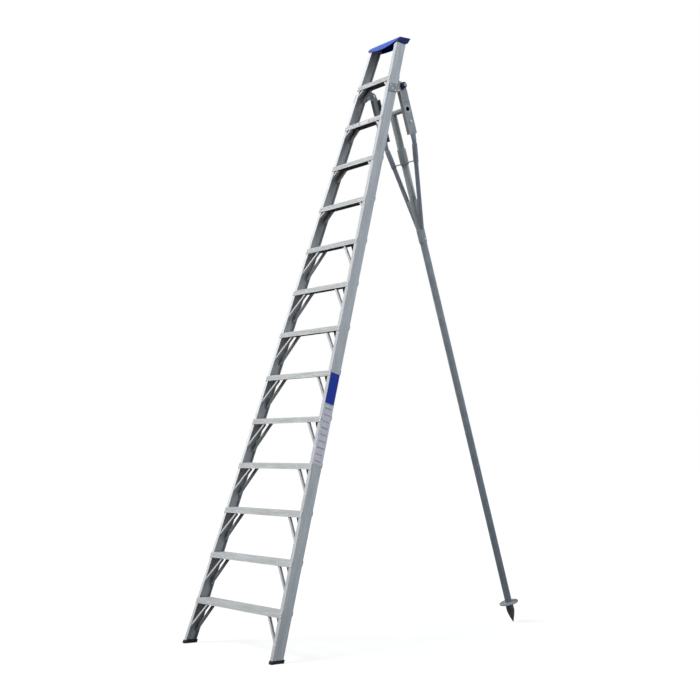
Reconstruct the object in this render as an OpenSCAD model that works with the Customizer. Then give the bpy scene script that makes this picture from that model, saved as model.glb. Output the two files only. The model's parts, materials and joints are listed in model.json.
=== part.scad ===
// Cherry picking ladder: a leaning, tapered step frame with a single folding rear leg
// that stands on a spike. Millimetres, +Z up. The treads face -Y, the rear leg reaches
// to +Y, and the origin lies on the ground under the middle of the footprint.

/* [Step frame] */
// Lean of the step frame from the vertical
lean = 17.4; // [15:0.1:20]
// Number of treads
tread_count = 13; // [11:1:14]
// Number of lower treads that have the long braces
long_brace_count = 9; // [6:1:10]
// Distance between treads, up the slope
tread_pitch = 300; // [280:1:320]
// Distance from the top tread to the top of the cap, up the slope
cap_rise = 298; // [260:1:360]
// Width over the stiles at the ground
base_width = 1079; // [1000:1:1160]
// Width over the stiles at the top of the cap
top_width = 310; // [290:1:340]
// Gap between neighbouring fixed pieces
fit = 0.2; // [0.1:0.05:0.4]

/* [Stiles] */
// Depth of the stile channel from front to back
stile_depth = 73; // [66:0.5:80]
// Width of the stile's flanges
stile_flange = 29; // [24:0.5:34]
// Thickness of the stile's web
stile_web = 2.5; // [2:0.1:3.5]
// Thickness of the stile's flanges
stile_flange_t = 3; // [2:0.1:4]
// Radius of the stile's outer corners
stile_corner = 2; // [1:0.1:2.5]

/* [Treads] */
// Height of the tread's front lip
tread_front_lip = 35; // [28:0.5:42]
// Height of the tread's rear lip
tread_rear_lip = 30; // [26:0.5:40]
// Thickness of the tread's top plate
tread_plate = 2.5; // [2:0.1:4]
// Thickness of the tread's lips
tread_lip = 2.2; // [1.6:0.1:3]
// Number of grip ribs on the top of a tread
rib_count = 6; // [4:1:9]
// Width of a grip rib
rib_width = 2; // [1:0.1:4]
// Height of a grip rib
rib_height = 1.2; // [0.5:0.1:2]
// Distance of the outer grip ribs from the faces of the lips
rib_margin = 7; // [4:0.5:12]
// Number of grooves along the front lip
groove_count = 3; // [1:1:4]
// Width of a groove in the front lip
groove_width = 1.6; // [0.8:0.1:2.4]
// Depth of a groove in the front lip
groove_depth = 0.7; // [0.3:0.1:1]
// Distance between grooves in the front lip
groove_pitch = 8; // [5:0.5:8]

/* [Braces] */
// Width of a brace across its web
brace_width = 14; // [11:0.5:16]
// Depth of the brace's legs
brace_leg = 16; // [10:0.5:20]
// Thickness of the brace's sheet
brace_wall = 2; // [1.5:0.1:3]
// Length of a brace past the rivets at its ends
brace_end = 8; // [6:0.5:9]
// Distance of the lower rivets from the stile's outer face
brace_edge = 15; // [14.5:0.1:17]
// Distance of the upper rivets below the edge of the tread
brace_rivet_drop = 18; // [16:0.5:20]
// Distance of a long brace's lower rivets below the edge of the tread
long_drop = 190; // [150:1:210]
// Reach of a long brace along the front lip
long_front_run = 160; // [120:1:180]
// Reach of a long brace along the rear lip
long_rear_run = 150; // [120:1:180]
// Distance of a short brace's lower rivets below the edge of the tread
short_drop = 80; // [70:1:100]
// Reach of a short brace along either lip
short_run = 70; // [50:1:80]
// Distance from the upper rivet to the start of the joggled tab
joggle_start = 18; // [16:0.5:20]
// Length of the ramp in the joggled tab
joggle_ramp = 7; // [5:0.5:8]

/* [Top cap] */
// Half length of the cap
cap_half = 168; // [166:0.5:190]
// Wall of the cap
cap_wall = 3.5; // [2.5:0.1:5]
// Thickness of the cap's top
cap_plate = 4; // [3:0.1:6]
// Set-back of the cap's front top edge from the face of the stiles
cap_front_w = 7; // [3:0.5:10]
// Distance from the face of the stiles to the cap's rear top edge
cap_rear_w = 92; // [88:0.5:100]
// Height of the cap's front at its ends
cap_skirt = 27; // [20:0.5:32]
// Height of the cap's end walls at the rear
cap_end = 42; // [36:0.5:48]
// Height of the cap's end walls at the face of the stiles
cap_end_front = 36; // [33:0.5:44]
// Distance of the bend in the cap's front from the face of the stiles
cap_bend_w = 7; // [6:0.5:10]
// Height of the cap's front above its bend
cap_bend_drop = 22; // [18:0.5:24]
// Height of the cap's front at the middle
cap_lip_drop = 62; // [45:0.5:75]
// Distance of the lip's lower edge from the face of the stiles
cap_lip_w = 13; // [10:0.5:16]
// Drop of the cap's rear wall at the middle, below the level of the front top edge
cap_rear_drop = 28; // [24:0.5:40]
// Drop of the cap's rear wall at its ends, below the level of the front top edge
cap_rear_end = 8; // [4:0.5:14]

/* [Shoes] */
// Height of the shoes
shoe_height = 21; // [16:0.5:30]
// Wall of the shoes round the stile
shoe_wall = 3; // [2:0.1:5]
// Wall of the shoes behind the stile
shoe_back = 7; // [3:0.5:10]
// Thickness of the shoe's sole under the stile
shoe_sole = 8; // [5:0.5:12]
// Number of grooves across the sole
sole_grooves = 4; // [2:1:5]
// Width of a groove in the sole
sole_groove_width = 4; // [2:0.5:6]
// Depth of a groove in the sole
sole_groove_depth = 2.5; // [1:0.1:4]

/* [Hinge] */
// Distance of the pivot below the top tread, up the slope
pivot_drop = 18; // [5:1:40]
// Distance of the pivot behind the stiles
pivot_back = 48.5; // [45:0.5:60]
// Diameter of the hinge bolts
pivot_bolt = 12; // [10:0.5:14]
// Running clearance between hinge bolt and arm, on the radius
pivot_clearance = 0.08; // [0.02:0.01:0.1]
// Gap between the pieces of the leg and those of the step frame
moving_gap = 0.3; // [0.3:0.05:0.6]
// Diameter of the hinge bushes
bush_d = 44; // [32:0.5:46]
// Length of the hinge bushes
bush_length = 18.4; // [12:0.1:22]
// Thickness of the hinge brackets
bracket_t = 5; // [4:0.1:7]
// Radius of the ear's end
ear_r = 13; // [12.5:0.5:16]
// Height of the bracket's pad along the stile
pad_height = 61; // [50:1:75]
// Distance from the pivot down to the pad's front top corner, up the slope
pad_drop = 41; // [36:1:46]
// Height of the ear's root, down from the top of the pad
ear_root_height = 46; // [36:1:50]
// Overhang of the pad behind the stile
pad_overhang = 12.5; // [10:0.5:16]
// Width across the flats of the hinge bolts' heads and nuts
pivot_hex = 19; // [17:0.5:22]
// Thickness of the hinge bolts' heads and nuts
pivot_head = 7.5; // [6:0.5:10]
// Thickness of the rims behind the heads
pivot_rim = 1.5; // [1:0.1:2.5]

/* [Leg head] */
// Tilt of the rear leg from the vertical
leg_tilt = 16.31; // [13:0.01:19]
// Distance of the arms inside the stiles' outer faces at the pivot
arm_inset = 18.1; // [15:0.1:21]
// Width of the arms from front to back
arm_width = 63; // [58:0.5:70]
// Depth of the arm channel
arm_depth = 29.5; // [24:0.5:32]
// Thickness of the arm channel
arm_wall = 3; // [2.5:0.1:4]
// Distance from the pivot to the top of the arm's flanges
arm_top = 30; // [27:0.5:40]
// Distance from the pivot to the bottom of the arms
arm_bottom = 328; // [300:1:345]
// Radius of the arm's ear round the pivot
arm_ear_r = 24; // [21:0.5:28]
// Height of the stop heel above the pivot
heel_height = 22; // [16:0.5:24]
// Diameter of the cross tube
cross_d = 33.7; // [28:0.1:40]
// Wall of the cross tube
cross_wall = 3.6; // [2.5:0.1:5]
// Distance from the pivot to the cross tube
cross_s = 158; // [140:1:175]
// Diameter of the struts
strut_d = 30; // [26:0.5:33]
// Wall of the struts
strut_wall = 2.5; // [2:0.1:4]
// Distance of the struts' top from the middle plane
strut_top_x = 165; // [158:0.5:170]
// Distance of the struts' foot from the middle plane
strut_foot_x = 18; // [14:0.5:24]
// Distance from the pivot to the reference point at the struts' top
strut_top_s = 335; // [325:1:345]
// Distance from the pivot to the bolts at the struts' top
strut_bolt_s = 244; // [225:1:260]
// Width of the flattened top of a strut
tab_width = 42; // [36:0.5:46]
// Thickness of the flattened top of a strut
tab_t = 6; // [4:0.1:7]
// Length of the round-to-flat change in a strut
strut_flare = 40; // [30:1:50]
// Diameter of the strut bolts
strut_bolt = 12; // [8:0.5:14]
// Width across the flats of the strut bolts
strut_hex = 19; // [17:0.5:22]
// Thickness of the heads and nuts of the strut bolts
strut_head = 7.5; // [5:0.5:10]

/* [Leg joints] */
// Diameter of the sleeves on the struts
sleeve_d = 36; // [34:0.5:40]
// Distance from the pivot to the top of the sleeves
sleeve_top = 395; // [385:1:405]
// Length of the sleeves
sleeve_length = 123; // [118:1:140]
// Diameter of the collar on the centre tube
collar_d = 60.3; // [54:0.1:66]
// Distance from the pivot to the top of the collar
collar_top = 406; // [390:1:420]
// Length of the collar
collar_length = 106; // [104:1:130]
// Diameter of the tie rod through sleeves and collar
rod_d = 8; // [6:0.5:12]
// Distance from the pivot to the tie rod
rod_s = 503; // [480:1:503]
// Length of the tie rod past the sleeves
rod_end = 1; // [0.5:0.1:3]
// Distance from the pivot to the top of the gusset plates
gusset_top = 763; // [720:1:800]
// Distance from the pivot to the bottom of the gusset plates
gusset_bottom = 905; // [880:1:915]
// Thickness of the gusset plates
gusset_t = 5; // [4:0.1:6]
// Set-back of the gusset plates from the front of the struts
gusset_inset = 3; // [1:0.5:5]
// Outside diameter of the socket
socket_d = 57; // [54:0.1:64]
// Distance from the pivot to the top of the socket
socket_top = 969; // [950:1:985]
// Length of the socket
socket_length = 91; // [80:1:120]
// Diameter of the socket bolt
socket_bolt_d = 10; // [8:0.5:12]
// Width across the flats of the socket bolt
socket_hex = 16; // [14:0.5:19]
// Thickness of the socket bolt's head and nut
socket_head = 5; // [4:0.5:9]
// Distance of the socket bolt from the bottom of the socket
socket_bolt_rise = 20; // [16:0.5:30]

/* [Leg] */
// Diameter of the centre tube and the pole
pole_d = 48.3; // [45:0.1:50]
// Wall of the centre tube and the pole
pole_wall = 3.2; // [2.5:0.1:5]
// Diameter of the ground disc
disc_d = 135; // [110:1:160]
// Thickness of the ground disc
disc_t = 5; // [4:0.1:8]
// Length of the spike
spike_length = 139; // [110:1:170]
// Diameter of the spike under the disc
spike_neck = 53; // [45:0.5:55]
// Diameter of the spike at its widest
spike_d = 55; // [51:0.5:60]
// Distance from the disc to the spike's widest place
spike_swell = 54; // [20:1:60]
// Fullness of the spike's taper, where 1 is a cone
spike_ogive = 1.25; // [1:0.05:2]
// Radius of the spike's blunt tip
spike_tip = 4; // [2:0.5:7]

/* [Hidden] */
$fn = 64;
tread_names = [for (i = [1:tread_count]) str("tread_", i < 10 ? "0" : "", i)];
brace_names = [for (i = [1:tread_count]) str("braces_", i < 10 ? "0" : "", i)];

// Signs of the two sides
LEFT = -1;
RIGHT = 1;
// Overlap of solids that are joined, and of cutters past the faces that they cut
eps = 0.5;

// Height of the cap's front top edge up the slope, and the stiles' taper up to there
cap_v = tread_count * tread_pitch + cap_rise;
taper_slope = (base_width - top_width) / 2 / cap_v;
taper = atan(taper_slope);
lean_slope = tan(lean);

// Front and rear faces of the tread's lips, measured back from the face of the stiles
lip_front = -fit - tread_lip;
lip_rear = stile_depth + fit + tread_lip;
rear_edge_rise = tread_rise(lip_rear);

// The pivot in the ladder's slope, then in space
pivot_v = tread_count * tread_pitch - pivot_drop;
pivot_w = stile_depth + pivot_back;
pivot_y = pivot_v * sin(lean) + pivot_w * cos(lean);
pivot_z = pivot_v * cos(lean) - pivot_w * sin(lean);

// Places across the hinge, from the arm outwards past the bracket's ear to the bolt's head
arm_out = half_width(pivot_v) - arm_inset;
arm_in = arm_out - arm_wall;
ear_in = arm_out + moving_gap;
ear_out = ear_in + bracket_t;
bush_in = ear_out + fit;
bush_out = bush_in + bush_length;

// Distances from the pivot down the leg
tip_centre_s = (pivot_z - spike_tip) / cos(leg_tilt);
spike_top_s = tip_centre_s + spike_tip - spike_length;
disc_s = spike_top_s - fit - disc_t;
pole_end_s = disc_s - fit;
pole_top_s = socket_top + socket_length / 2;
socket_bolt_s = socket_top + socket_length - socket_bolt_rise;
strut_slope = (strut_top_x - strut_foot_x) / (socket_top - strut_top_s);
strut_angle = atan(strut_slope);

// Middle of the footprint, from the shoes' front to the rear of the ground disc
front_y = -shoe_wall / cos(lean);
rear_y = pivot_y + (disc_s + disc_t) * sin(leg_tilt) + disc_d / 2 * cos(leg_tilt);
mid_y = (front_y + rear_y) / 2;
space = 3 * cap_v;

// Half the width over the stiles at a height up the slope
function half_width(v) = base_width / 2 - v * taper_slope;

// Rise of a tread's top above its front edge, at a distance behind the stiles' face
function tread_rise(w) = (w - lip_front) * lean_slope;

// Distance of a strut's axis from the middle plane, at a distance down the leg
function strut_x(s) = strut_top_x - (s - strut_top_s) * strut_slope;

// Frames

// x across, y back from the face of the stiles, z up the slope
module ladder_frame() {
    translate([0, -mid_y, 0])
        rotate([-lean, 0, 0])
            children();
}

// x outwards from the stile's outer face, y back, z along the stile
module stile_frame(side) {
    ladder_frame()
        scale_side(side)
            translate([base_width / 2, 0, 0])
                rotate([0, -taper, 0])
                    children();
}

// x across, y to the leg's rear, z up the leg, with the pivot at the origin
module leg_frame() {
    translate([0, pivot_y - mid_y, pivot_z])
        rotate([leg_tilt, 0, 0])
            children();
}

// z up a strut, with the origin at its reference point
module strut_frame(side) {
    translate([side * strut_top_x, 0, -strut_top_s])
        rotate([0, side * strut_angle, 0])
            children();
}

// Shapes for the right side, mirrored when they belong on the left
module scale_side(side) {
    mirror([side == LEFT ? 1 : 0, 0, 0])
        children();
}

// A slice of space between two levels
module level_slab(z0, z1) {
    translate([-space / 2, -space / 2, z0])
        cube([space, space, z1 - z0]);
}

// Sections of y and z, drawn out across x from x0 to x1
module across(x0, x1) {
    translate([x0, 0, 0])
        rotate([90, 0, 90])
            linear_extrude(x1 - x0)
                children();
}

// Outlines of x and z, drawn out from y0 to y1
module plate_xz(y0, y1) {
    translate([0, y1, 0])
        rotate([90, 0, 0])
            linear_extrude(y1 - y0)
                children();
}

// A round bar across x from x0 to x1
module bar_x(d, x0, x1) {
    translate([x0, 0, 0])
        rotate([0, 90, 0])
            cylinder(d = d, h = x1 - x0);
}

// A hexagon across x from x0 to x1
module hex_x(flats, x0, x1) {
    translate([x0, 0, 0])
        rotate([0, 90, 0])
            cylinder(d = flats / cos(30), h = x1 - x0, $fn = 6);
}

// A tube down the leg's axis, from s0 to s1
module tube_s(d, bore, s0, s1) {
    translate([0, 0, -s1])
        linear_extrude(s1 - s0)
            difference() {
                circle(d = d);
                circle(d = bore);
            }
}

// Step frame

// Channel section of a stile: web at x = 0, flanges pointing inwards
module stile_section() {
    difference() {
        union() {
            translate([-stile_flange, 0])
                square([stile_flange - stile_corner, stile_depth]);
            translate([-stile_flange, stile_corner])
                square([stile_flange, stile_depth - 2 * stile_corner]);
            for (y = [stile_corner, stile_depth - stile_corner])
                translate([-stile_corner, y])
                    circle(r = stile_corner);
        }
        translate([-stile_flange - eps, stile_flange_t])
            square([stile_flange - stile_web + eps, stile_depth - 2 * stile_flange_t]);
    }
}

// The same channel with room round it, for the pieces that are notched over it
module stile_room_section() {
    translate([-stile_web - fit, -fit])
        square([stile_web + 2 * fit, stile_depth + 2 * fit]);
    for (y = [-fit, stile_depth - stile_flange_t - fit])
        translate([-stile_flange - fit, y])
            square([stile_flange + fit, stile_flange_t + 2 * fit]);
}

// Section of the space under the cap that the stiles' tops may fill
module under_cap_section() {
    front = cap_front_w + cap_wall + fit;
    bend = -cap_bend_w + cap_wall + fit;
    drop = cap_plate / cos(lean) + fit;
    polygon([
        [bend, -cap_v],
        [bend, -cap_bend_drop],
        [front, cap_top(front) - drop],
        [cap_rear_w, cap_top(cap_rear_w) - drop],
        [cap_rear_w, -cap_v]
    ]);
}

module stile(side) {
    color("silver")
        intersection() {
            stile_frame(side)
                translate([0, 0, -stile_depth])
                    linear_extrude(2 * cap_v)
                        stile_section();
            ladder_frame()
                translate([0, 0, cap_v])
                    across(-base_width, base_width)
                        under_cap_section();
            level_slab(shoe_sole + fit, space);
        }
}

// Corner points of a grip rib whose middle stands on the tread's top at w
function rib_points(w) = [
    for (corner = [[-0.5, 0], [-0.5, 1], [0.5, 1], [0.5, 0]])
        [w, tread_rise(w)]
            + corner[0] * rib_width * [cos(lean), sin(lean)]
            + corner[1] * rib_height * [-sin(lean), cos(lean)]
];

// A tread is one section: level top plate with grip ribs and two hanging lips
module tread_section() {
    drop = tread_plate / cos(lean);
    first_rib = lip_front + rib_margin;
    rib_step = (lip_rear - lip_front - 2 * rib_margin) / (rib_count - 1);
    first_groove = -(tread_front_lip + (groove_count - 1) * groove_pitch) / 2;
    difference() {
        polygon(concat(
            [[lip_front, -tread_front_lip], [lip_front, 0]],
            [for (j = [0:rib_count - 1]) each rib_points(first_rib + j * rib_step)],
            [
                [lip_rear, rear_edge_rise],
                [lip_rear, rear_edge_rise - tread_rear_lip],
                [lip_rear - tread_lip, rear_edge_rise - tread_rear_lip],
                [lip_rear - tread_lip, tread_rise(lip_rear - tread_lip) - drop],
                [lip_front + tread_lip, tread_rise(lip_front + tread_lip) - drop],
                [lip_front + tread_lip, -tread_front_lip]
            ]
        ));
        for (j = [0:groove_count - 1])
            translate([lip_front - eps, first_groove + j * groove_pitch - groove_width / 2])
                square([groove_depth + eps, groove_width]);
    }
}

module tread(i) {
    color("gainsboro")
        difference() {
            ladder_frame()
                translate([0, 0, i * tread_pitch])
                    across(-base_width / 2, base_width / 2)
                        tread_section();
            for (side = [LEFT, RIGHT])
                stile_frame(side)
                    translate([0, 0, -stile_depth])
                        linear_extrude(2 * cap_v) {
                            stile_room_section();
                            translate([0, -stile_depth])
                                square([base_width, 3 * stile_depth]);
                        }
        }
}

// One brace: a channel along z, web at y = 0, whose upper tab is joggled to y = -step
module brace(length) {
    step = stile_flange_t + fit;
    turn = brace_wall * tan(atan(step / joggle_ramp) / 2);
    ramp_foot = length - joggle_start;
    ramp_head = ramp_foot + joggle_ramp;
    tip = length + brace_end;
    across(-brace_width / 2, brace_width / 2)
        polygon([
            [0, -brace_end],
            [0, ramp_foot - turn],
            [-step, ramp_head - turn],
            [-step, tip],
            [brace_wall - step, tip],
            [brace_wall - step, ramp_head],
            [brace_wall, ramp_foot],
            [brace_wall, -brace_end]
        ]);
    for (x = [-brace_width / 2, brace_width / 2 - brace_wall])
        translate([x, 0, -brace_end])
            cube([brace_wall, brace_leg, ramp_foot - turn + brace_end]);
}

// A brace on the right stile, from its lower rivet up to its rivet on the tread's lip
module brace_at(low_v, high_v, run) {
    low_x = half_width(low_v) - brace_edge;
    rise = high_v - low_v;
    translate([low_x, stile_flange_t + fit, low_v])
        rotate([0, -atan2(run, rise), 0])
            brace(norm([run, rise]));
}

// The four braces of a tread: front and rear, left and right
module braces(i) {
    long = i <= long_brace_count;
    low_v = i * tread_pitch - (long ? long_drop : short_drop);
    high_v = i * tread_pitch - brace_rivet_drop;
    color("lightgrey")
        ladder_frame()
            for (side = [LEFT, RIGHT])
                scale_side(side) {
                    brace_at(low_v, high_v, long ? long_front_run : short_run);
                    translate([0, stile_depth, 0])
                        mirror([0, 1, 0])
                            brace_at(low_v, high_v + rear_edge_rise, long ? long_rear_run : short_run);
                }
}

// Height of the cap's level top above its front edge, up the slope
function cap_top(w) = (w - cap_front_w) * lean_slope;

// Keeps what lies above an arc that hangs lower at its middle than at the cap's ends
module above_arc(drop, end_drop) {
    sag = drop - end_drop;
    radius = (cap_half * cap_half + sag * sag) / (2 * sag);
    intersection() {
        children();
        translate([0, 0, radius - drop])
            rotate([90, 0, 0])
                cylinder(r = radius, h = space, center = true, $fn = 180);
    }
}

// Moulded cap: a level top, ends over the stiles, and front and rear walls cut to an arc
module top_cap() {
    top_drop = cap_plate / cos(lean);
    rear_foot = stile_depth + fit + cap_wall;
    rear_top = cap_top(cap_rear_w);
    rear_slope = (cap_rear_w - rear_foot) / (rear_top + cap_rear_drop);
    end_w = cap_rear_w - rear_slope * cap_end / (1 - rear_slope * lean_slope);
    end_v = cap_top(end_w) - cap_end;
    color("royalblue")
        ladder_frame()
            translate([0, 0, cap_v]) {
                across(-cap_half, cap_half)
                    polygon([
                        [cap_front_w, 0],
                        [cap_rear_w, rear_top],
                        [cap_rear_w, rear_top - top_drop],
                        [cap_front_w, -top_drop]
                    ]);
                above_arc(cap_lip_drop, cap_skirt)
                    across(-cap_half, cap_half)
                        polygon([
                            [cap_front_w, 0],
                            [cap_front_w + cap_wall, cap_top(cap_front_w + cap_wall)],
                            [cap_front_w + cap_wall, -eps],
                            [cap_wall - cap_bend_w, -cap_bend_drop],
                            [cap_wall - cap_lip_w, -cap_lip_drop],
                            [-cap_lip_w, -cap_lip_drop],
                            [-cap_bend_w, -cap_bend_drop]
                        ]);
                above_arc(cap_rear_drop, cap_rear_end)
                    across(-cap_half, cap_half)
                        polygon([
                            [cap_rear_w, rear_top],
                            [rear_foot, -cap_rear_drop],
                            [rear_foot - cap_wall, -cap_rear_drop],
                            [cap_rear_w - cap_wall, rear_top - top_drop]
                        ]);
                for (x = [-cap_half, cap_half - cap_wall])
                    across(x, x + cap_wall)
                        polygon([
                            [cap_front_w, 0],
                            [cap_rear_w, rear_top],
                            [end_w, end_v],
                            [0, -cap_end_front],
                            [-cap_bend_w, -cap_skirt],
                            [-cap_bend_w, -cap_bend_drop]
                        ]);
            }
}

// Moulded shoe: a leaning block round the stile's foot, with a grooved level sole
module shoe(side) {
    groove_step = stile_depth / (sole_grooves + 1);
    color("midnightblue")
        difference() {
            intersection() {
                stile_frame(side)
                    translate([-stile_flange - shoe_wall, -shoe_wall, -stile_depth])
                        cube([
                            stile_flange + 2 * shoe_wall,
                            stile_depth + shoe_wall + shoe_back,
                            2 * stile_depth + shoe_height
                        ]);
                level_slab(0, shoe_height);
            }
            intersection() {
                stile_frame(side)
                    translate([0, 0, -stile_depth])
                        linear_extrude(cap_v)
                            stile_room_section();
                level_slab(shoe_sole, space);
            }
            for (j = [1:sole_grooves])
                translate([-base_width, j * groove_step - sole_groove_width / 2 - mid_y, -sole_groove_depth])
                    cube([2 * base_width, sole_groove_width, 2 * sole_groove_depth]);
        }
}

// Hinge

// Steel bracket: a level pad on the stile's web, stepped inwards behind the stile to an
// ear that reaches back to the pivot, close outside the arm
module hinge_bracket(side) {
    pad_rear = stile_depth + pad_overhang;
    pad_top = pivot_v - pad_drop;
    pad_foot = pad_top - pad_height;
    step_front = pad_rear - bracket_t;
    step_top = pad_top + step_front * lean_slope;
    step_foot = step_top - ear_root_height;
    color("darkseagreen")
        difference() {
            union() {
                stile_frame(side)
                    across(fit, fit + bracket_t)
                        polygon([
                            [0, pad_foot / cos(taper)],
                            [0, pad_top / cos(taper)],
                            [pad_rear, (pad_top + pad_rear * lean_slope) / cos(taper)],
                            [pad_rear, (pad_foot + pad_rear * lean_slope) / cos(taper)]
                        ]);
                ladder_frame()
                    scale_side(side) {
                        plate_xz(step_front, pad_rear)
                            polygon([
                                [ear_in, step_foot],
                                [ear_in, step_top],
                                [half_width(step_top) + bracket_t / 2, step_top],
                                [half_width(step_foot) + bracket_t / 2, step_foot]
                            ]);
                        across(ear_in, ear_out) {
                            polygon([
                                [step_front, step_foot],
                                [step_front, step_top],
                                [pivot_w - ear_r / 2, pivot_v + ear_r * sin(60)],
                                [pivot_w + ear_r / 2, pivot_v - ear_r * sin(60)]
                            ]);
                            translate([pivot_w, pivot_v])
                                circle(r = ear_r);
                        }
                    }
            }
            leg_frame()
                bar_x(pivot_bolt + 2 * fit, -base_width, base_width);
        }
}

module hinge_bolt(side) {
    head_in = bush_out + fit;
    nut_end = arm_in - moving_gap - pivot_head;
    color("whitesmoke")
        leg_frame()
            scale_side(side) {
                bar_x(pivot_bolt, nut_end - pivot_rim, head_in + eps);
                bar_x(pivot_hex, head_in, head_in + pivot_rim);
                hex_x(pivot_hex, head_in + pivot_rim, head_in + pivot_rim + pivot_head);
            }
}

module hinge_nut(side) {
    nut_out = arm_in - moving_gap;
    color("whitesmoke")
        leg_frame()
            scale_side(side)
                difference() {
                    hex_x(pivot_hex, nut_out - pivot_head, nut_out);
                    bar_x(pivot_bolt + 2 * fit, nut_out - pivot_head - eps, nut_out + eps);
                }
}

// Moulded bush on the bolt, between the bracket's ear and the bolt's head
module hinge_bush(side) {
    color("navy")
        leg_frame()
            scale_side(side)
                difference() {
                    bar_x(bush_d, bush_in, bush_out);
                    bar_x(pivot_bolt + 2 * fit, bush_in - eps, bush_out + eps);
                }
}

// Leg head

// Outline of the arm's web: straight sides, a round ear at the pivot and a stop heel
// whose face bears on the top tread's rear lip, over the stile, when the leg is open
module arm_web_outline() {
    heel_reach = pivot_w - lip_rear - moving_gap;
    translate([-arm_width / 2, -arm_bottom])
        square([arm_width, arm_bottom - arm_top]);
    polygon([
        [-arm_width / 2, -arm_top],
        [-arm_ear_r, 0],
        [arm_ear_r, 0],
        [arm_width / 2, -arm_top]
    ]);
    circle(r = arm_ear_r);
    rotate(-lean - leg_tilt)
        polygon([
            [-heel_reach, 0],
            [-heel_reach, heel_height],
            [0, arm_ear_r],
            [0, -arm_ear_r]
        ]);
}

module arm(side) {
    color("slategray")
        leg_frame()
            scale_side(side)
                difference() {
                    union() {
                        across(arm_in, arm_out)
                            arm_web_outline();
                        for (y = [-arm_width / 2, arm_width / 2 - arm_wall])
                            translate([arm_out - arm_depth, y, -arm_bottom])
                                cube([arm_depth - eps, arm_wall, arm_bottom - arm_top]);
                    }
                    bar_x(pivot_bolt + 2 * pivot_clearance, 0, base_width);
                    translate([0, 0, -cross_s])
                        bar_x(cross_d + 2 * fit, 0, base_width);
                    translate([0, 0, -strut_bolt_s])
                        bar_x(strut_bolt + 2 * fit, 0, base_width);
                }
}

module cross_tube() {
    color("slategray")
        leg_frame()
            translate([0, 0, -cross_s])
                difference() {
                    bar_x(cross_d, -arm_out, arm_out);
                    bar_x(cross_d - 2 * cross_wall, -base_width, base_width);
                }
}

// Tube under the cross tube, with its top shaped to saddle it
module centre_tube() {
    color("slategray")
        leg_frame()
            difference() {
                tube_s(pole_d, pole_d - 2 * pole_wall, cross_s, pole_top_s);
                translate([0, 0, -cross_s])
                    bar_x(cross_d + 2 * fit, -base_width, base_width);
                rod_hole();
            }
}

module rod_hole() {
    translate([0, 0, -rod_s])
        bar_x(rod_d + 2 * fit, -base_width, base_width);
}

module centre_collar() {
    color("dimgray")
        leg_frame()
            difference() {
                tube_s(collar_d, pole_d + 2 * fit, collar_top, collar_top + collar_length);
                rod_hole();
            }
}

// Strut: a tube coped along the centre tube, with its top flattened and bolted to the arm
module strut(side) {
    tab_out = arm_in - fit;
    tab_foot = arm_bottom + eps;
    round_z = -strut_flare / cos(strut_angle);
    foot_z = -(socket_top - strut_top_s) / cos(strut_angle) - strut_d;
    color("slategray")
        leg_frame()
            difference() {
                union() {
                    scale_side(side) {
                        translate([tab_out - tab_t, -tab_width / 2, -tab_foot - eps])
                            cube([tab_t, tab_width, tab_foot + eps - strut_bolt_s]);
                        translate([0, 0, -strut_bolt_s])
                            bar_x(tab_width, tab_out - tab_t, tab_out);
                    }
                    hull() {
                        scale_side(side)
                            translate([tab_out - tab_t, -tab_width / 2, -tab_foot - eps])
                                cube([tab_t, tab_width, eps]);
                        strut_frame(side)
                            translate([0, 0, round_z])
                                cylinder(d = strut_d + 2 * eps, h = eps, $fn = 32);
                    }
                    strut_frame(side)
                        translate([0, 0, foot_z])
                            cylinder(d = strut_d, h = round_z - foot_z + eps);
                }
                strut_frame(side)
                    translate([0, 0, foot_z - eps])
                        cylinder(d = strut_d - 2 * strut_wall, h = round_z - foot_z - strut_wall);
                translate([0, 0, -2 * socket_top])
                    cylinder(d = pole_d + 2 * fit, h = 2 * socket_top);
                translate([-base_width, -base_width, -3 * socket_top])
                    cube([2 * base_width, 2 * base_width, 2 * socket_top + fit]);
                translate([0, 0, -strut_bolt_s])
                    bar_x(strut_bolt + 2 * fit, -base_width, base_width);
                rod_hole();
            }
}

module strut_sleeve(side) {
    top_z = -(sleeve_top - strut_top_s) / cos(strut_angle);
    color("dimgray")
        leg_frame()
            difference() {
                strut_frame(side)
                    translate([0, 0, top_z - sleeve_length])
                        linear_extrude(sleeve_length)
                            difference() {
                                circle(d = sleeve_d);
                                circle(d = strut_d + 2 * fit);
                            }
                rod_hole();
            }
}

// Rod through both sleeves and the collar, cut off close outside the sleeves
module tie_rod() {
    reach = strut_x(rod_s) + sleeve_d / 2 / cos(strut_angle) + rod_d / 2 * strut_slope + rod_end;
    color("silver")
        leg_frame()
            translate([0, 0, -rod_s])
                bar_x(rod_d, -reach, reach);
}

module strut_bolt(side) {
    tab_in = arm_in - fit - tab_t;
    color("whitesmoke")
        leg_frame()
            scale_side(side)
                translate([0, 0, -strut_bolt_s]) {
                    bar_x(strut_bolt, tab_in - strut_head, arm_out + eps);
                    hex_x(strut_hex, arm_out + fit, arm_out + fit + strut_head);
                    hex_x(strut_hex, tab_in - fit - strut_head, tab_in - fit);
                }
}

// Plates between struts and centre tube, cut to the tubes
module gusset_plates() {
    front = -strut_d / 2 + gusset_inset;
    color("slategray")
        leg_frame()
            difference() {
                plate_xz(front, front + gusset_t)
                    polygon([
                        [-strut_x(gusset_top), -gusset_top],
                        [strut_x(gusset_top), -gusset_top],
                        [strut_x(gusset_bottom), -gusset_bottom],
                        [-strut_x(gusset_bottom), -gusset_bottom]
                    ]);
                translate([0, 0, -2 * socket_top])
                    cylinder(d = pole_d + 2 * fit, h = 2 * socket_top);
                for (side = [LEFT, RIGHT])
                    strut_frame(side)
                        translate([0, 0, -2 * socket_top])
                            cylinder(d = strut_d + 2 * fit, h = 2 * socket_top);
            }
}

// Lower leg

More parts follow.
